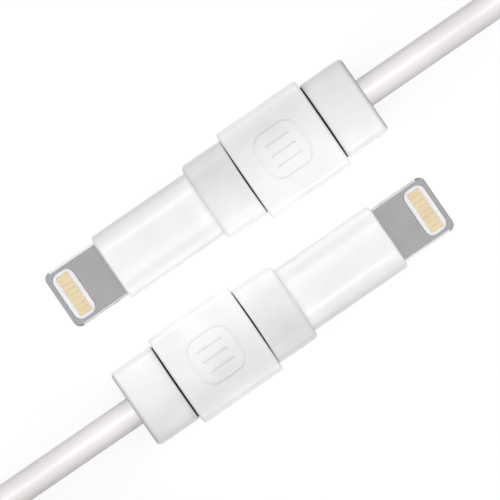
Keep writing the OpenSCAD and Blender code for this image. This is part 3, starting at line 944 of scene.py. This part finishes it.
# near-black rings in the gaps beside the sleeve: painted shade; the rim cards use the same black
grooveShadeLook = {"dark": (0.02, 0.02, 0.022), "light": (0.03, 0.03, 0.032), "ior": 1.45, "coat": 0.0,
              "coatRoughness": 0.3, "roughness": 0.7, "rub": 0.05, "grain": 8000.0,
              "mottle": 500.0, "bump": 0.003}
jacketLook = {"dark": (0.76, 0.73, 0.726), "light": (0.807, 0.774, 0.77), "ior": 1.6, "coat": 0.6,
              "coatRoughness": 0.33, "roughness": 0.45, "rub": 0.08, "grain": 6500.0,
              "mottle": 180.0, "bump": 0.004}


def metal(name, look):
    material, tree, shader = newMaterial(name, {"Metallic": 1.0})
    lines = effect(tree, "brushed", {"Vector": spotOn(tree),
                                     "Angle": -math.radians(layout["angle"]),
                                     "Fineness": look["fineness"]})
    twoTone(tree, shader, lines.outputs["Tone"], look)
    roughened(tree, shader, lines.outputs["Tone"], look["spread"], look["roughness"])
    bumpy(tree, shader, lines.outputs["Height"], look["bump"])
    return material


steelLook = {"dark": (0.39, 0.39, 0.39), "light": (0.45, 0.45, 0.452), "roughness": 0.34,
             "spread": 0.08, "fineness": 7000.0, "bump": 0.0008}
# the edges' finish is polished, and its colour, twice as light as the top's, is a painted highlight
# along the rounded sides
polishedEdgeHighlightLook = {"dark": (0.8, 0.8, 0.8), "light": (0.86, 0.86, 0.86), "roughness": 0.16,
                 "spread": 0.06, "fineness": 9000.0, "bump": 0.0004}
sheetLook = {"dark": (0.5, 0.5, 0.5), "light": (0.6, 0.6, 0.6), "roughness": 0.3,
             "spread": 0.1, "fineness": 4000.0, "bump": 0.001}
goldLook = {"dark": (0.81, 0.64, 0.38), "light": (0.9, 0.75, 0.5), "roughness": 0.22,
            "spread": 0.1, "fineness": 9000.0, "bump": 0.0006}
# the pitch is in units of the strap's map
strapLook = {"dark": (0.62, 0.62, 0.63), "light": (0.8, 0.8, 0.81), "roughness": 0.85,
             "sheen": 0.3, "pitch": 0.03, "bump": 0.05}


def cloth(name, look):
    material, tree, shader = newMaterial(name, {"Roughness": look["roughness"],
                                                "Sheen Weight": look["sheen"]})
    loops = effect(tree, "woven", {"Vector": spotOn(tree, "UV"), "Pitch": look["pitch"]})
    twoTone(tree, shader, loops.outputs["Tone"], look)
    bumpy(tree, shader, loops.outputs["Height"], look["bump"])
    return material


materials = {
    "steel": metal("satinSteel", steelLook),
    "steelEdgeHighlight": metal("polishedSteelEdgeHighlight", polishedEdgeHighlightLook),
    "sheet": metal("sheetSteel", sheetLook),
    "gold": metal("goldPlating", goldLook),
    "insert": plastic("insertMoulding", insertLook),
    "boot": plastic("bootPlastic", bootLook),
    "protector": plastic("protectorPlastic", protectorLook),
    "chip": plastic("chipEpoxy", chipLook),
    "board": plastic("boardLacquer", boardLook),
    "wire": plastic("wireInsulation", wireLook),
    "washer": plastic("grooveShadeBlack", grooveShadeLook),
    "jacket": plastic("cordJacket", jacketLook),
    "strap": cloth("strapCloth", strapLook),
}
print("materials mixed:", len(materials))


def dress(obj, *names):
    obj.data.materials.clear()
    for name in names:
        obj.data.materials.append(materials[name])
    return obj


def polishAndHighlightSides(obj):
    # the tongue's rounded sides take the second finish as far as its rounded tip: polished, and far
    # lighter than the top as a painted highlight
    half = (tongue["width"] / 2 - tongue["edgeRadius"]) * mm
    for face in obj.data.polygons:
        side = abs(face.normal.z) < facing and abs(face.center.y) > half
        if side and face.center.x > tongue["tipRadius"] * mm:
            face.material_index = 1


# the pieces are made and put in place
tonguePiece = dress(makeTongue(), "steel", "steelEdgeHighlight")
polishAndHighlightSides(tonguePiece)
placeEnds(tonguePiece, "tongue", ["plug_shell"])
placeEnds(dress(makeInsert(), "insert"), "insert", ["contact_insert"], fan="boot")
contactsAbove = dress(contactRow("contacts"), "gold")
placeEnds(turnedOver(contactsAbove, "contactsBelow"), "contactsBelow", ["contacts_bottom"])
placeEnds(contactsAbove, "contactsAbove", ["contacts_top"])
placeEnds(dress(makeBoot(), "boot"), "boot", ["boot"], fan="boot")
placeEnds(dress(makeBody(), "protector"), "protectorBody", ["protector_body"],
          fan="collar")
placeEnds(dress(makeRearCollar(), "protector"), "rearCollar", ["rear_collar"],
          fan="rear")
placeEnds(dress(makeSleeve(), "protector"), "sleeve", ["sleeve"],
          "sleeve_{}", fan="sleeve")
# black rings in the gaps beside each sleeve, which paint the grooves' shade
for side in hollow:
    placeEnds(dress(makeGrooveShadeRing(side), "washer"), side + "ShadeRing", [])
print("plug ends placed")

strapPiece = dress(makeStrap(), "strap")
strapTail = dress(makeStrapTail(), "strap")
for piece in (strapPiece, strapTail):
    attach(piece, "cable")
    addToSet(piece, "cord")
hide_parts("hank_strap")

dress(cordPiece, "jacket")
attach(cordPiece, "cable")
addToSet(cordPiece, "cord")
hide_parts("cord_a", "cord_b", "cord_hank")
print("cord and strap placed")

# the hidden pieces keep their CAD solids
insides = {"circuit_board": "board", "board_chips": "chip", "shield_can": "sheet",
           "wire_tails": "wire", "crimp_ring": "sheet", "strain_relief": "boot",
           "cord_end": "jacket"}
for node, name in insides.items():
    for end in layout["ends"]:
        dress(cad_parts[node + "_" + end.lower()], name)
print("inner pieces dressed")

# the floor and the sky: lift is the glow that the camera and reflections see on the floor, and
# the sky is stronger for them than for the light that it gives
floorLook = {"size": 12000, "below": 0.1, "tone": (0.86, 0.86, 0.86), "lift": 0.71,
             "roughness": 0.9}
sky = {"seen": 1.0, "lit": 0.35}
# fans of lamps round the axis of each end: the lean of each lamp from straight above, towards
# the outer side, with its glow. A near panel hangs close above the inner side. Each fan lights
# its own piece alone, and stands as far along the axis as its "along" says
fanSize = {"distance": 200, "length": 220, "width": 40}
fans = {
    "boot": {"distance": 160, "length": 220, "width": 20, "near": 0, "along": -60,
             "glows": {-80: 3.35, -66: 1.6, -54: 2.0, -12: 2.2, -5: 2.0, 9: 1.2, 15: 4.3,
                       26: 1.8, 38: 1.25, 60: 1.7}},
    "collar": {**fanSize, "near": 0.38, "along": 0,
               "glows": {-82: 4.7, -30: 3.0, 37: 2.9, 82: 3.8}},
    "sleeve": {**fanSize, "near": 0.4, "along": 0,
               "glows": {-82: 6.0, -60: 1.6, 20: 2.1, 37: 1.4, 58: 3.1, 70: 3.2, 82: 0.35}},
    "rear": {**fanSize, "near": 0.37, "along": -90,
             "glows": {-82: 8.6, -30: 0.4, -15: 3.1, 20: 1.8, 37: 3.2, 58: 0.9, 82: 3.3}},
}
cordFan = {**fanSize, "length": 500, "near": 0, "along": 0, "glows": {3: 8.9}}
nearPanel = {"across": -9.5, "height": 15.8, "length": 75, "width": 21}
rimCard = {"behind": 1.0, "width": 10, "height": 12}


def seenRays(tree):
    # 1 for what the camera sees itself or in a reflection, else 0
    rays = addNode(tree, "LightPath")
    return mathNode(tree, "MAXIMUM", rays.outputs["Is Camera Ray"], rays.outputs["Is Glossy Ray"])


def makeFloor():
    bpy.ops.mesh.primitive_plane_add(size=floorLook["size"] * mm,
                                     location=scaled([0, 0, -floorLook["below"]]))
    obj = bpy.context.object
    obj.name = "floor"
    material, tree, shader = newMaterial("paleFloor", {
        "Base Color": (*floorLook["tone"], 1), "Roughness": floorLook["roughness"],
        "Specular IOR Level": 0.0})
    glow = addNode(tree, "Emission", {"Strength": mathNode(tree, "MULTIPLY", seenRays(tree),
                                                           floorLook["lift"])})
    both = addNode(tree, "AddShader", {0: shader.outputs[0], 1: glow.outputs[0]})
    tree.links.new(both.outputs[0], tree.nodes["Material Output"].inputs["Surface"])
    obj.data.materials.append(material)


def makeSky():
    world = bpy.data.worlds.new("studio")
    world.use_nodes = True
    tree = world.node_tree
    tree.links.new(remap(tree, seenRays(tree), 0, 1, sky["lit"], sky["seen"]),
                   tree.nodes["Background"].inputs["Strength"])
    tree.nodes["Background"].inputs["Color"].default_value = (1, 1, 1, 1)
    bpy.context.scene.world = world


def makeLamp(name, spot, lean, size, glow, turn):
    # the glow is how bright the lamp's own face is, whatever its size
    bpy.ops.object.light_add(type="AREA",
                             location=Matrix.Rotation(turn, 4, "Z") @ Vector(scaled(spot)))
    obj = bpy.context.object
    obj.name = name
    length, width = scaled(size)
    obj.data.shape = "RECTANGLE"
    obj.data.size = length
    obj.data.size_y = width
    obj.data.energy = glow * math.pi * length * width
    obj.visible_camera = False
    obj.rotation_euler = (-lean, 0, turn)
    return obj


def makeFan(fan, turn, middle, lit, shading):
    lamps = []
    for lean, glow in fan["glows"].items():
        angle = math.radians(lean)
        spot = (fan["along"], middle + fan["distance"] * math.sin(angle),
                layout["axisHeight"] + fan["distance"] * math.cos(angle))
        lamps.append(makeLamp(f"{lit}{lean}", spot, angle, (fan["length"], fan["width"]), glow,
                              turn))
    if fan["near"]:
        spot = (0, middle + nearPanel["across"], nearPanel["height"])
        lamps.append(makeLamp(lit + "Near", spot, 0, (nearPanel["length"], nearPanel["width"]),
                              fan["near"], turn))
    for lamp in lamps:
        lamp.light_linking.receiver_collection = lampSets[lit]
        lamp.light_linking.blocker_collection = lampSets[shading]


def makeLamps():
    turn = math.radians(layout["angle"])
    for end, half in layout["ends"].items():
        for name, fan in fans.items():
            makeFan(fan, turn + math.radians(half), layout["axisSpacing"] / 2, name + end,
                    "end" + end)
    makeFan(cordFan, turn, 0, "cord", "cord")


def makeRimCards():
    # dark cards close behind the rear collars, seen in reflections alone, keep those edges dark
    for end in layout["ends"]:
        bpy.ops.mesh.primitive_plane_add(size=1)
        card = dress(bpy.context.object, "washer")
        card.name = "rimCard" + end
        card.scale = scaled([rimCard["height"], rimCard["width"], 1])
        card.rotation_euler.y = math.pi / 2
        card.location = scaled([along["exit"] + rimCard["behind"], 0,
                                rimCard["height"] / 2 - layout["axisHeight"]])
        applyAll(card)
        card.matrix_world = endMatrix(end)
        applyAll(card)
        card.visible_camera = False
        card.visible_diffuse = False
        card.visible_shadow = False


makeFloor()
makeSky()
makeLamps()
makeRimCards()
bpy.context.scene.view_settings.view_transform = "Standard"
print("studio lit")

bpy.context.view_layer.update()
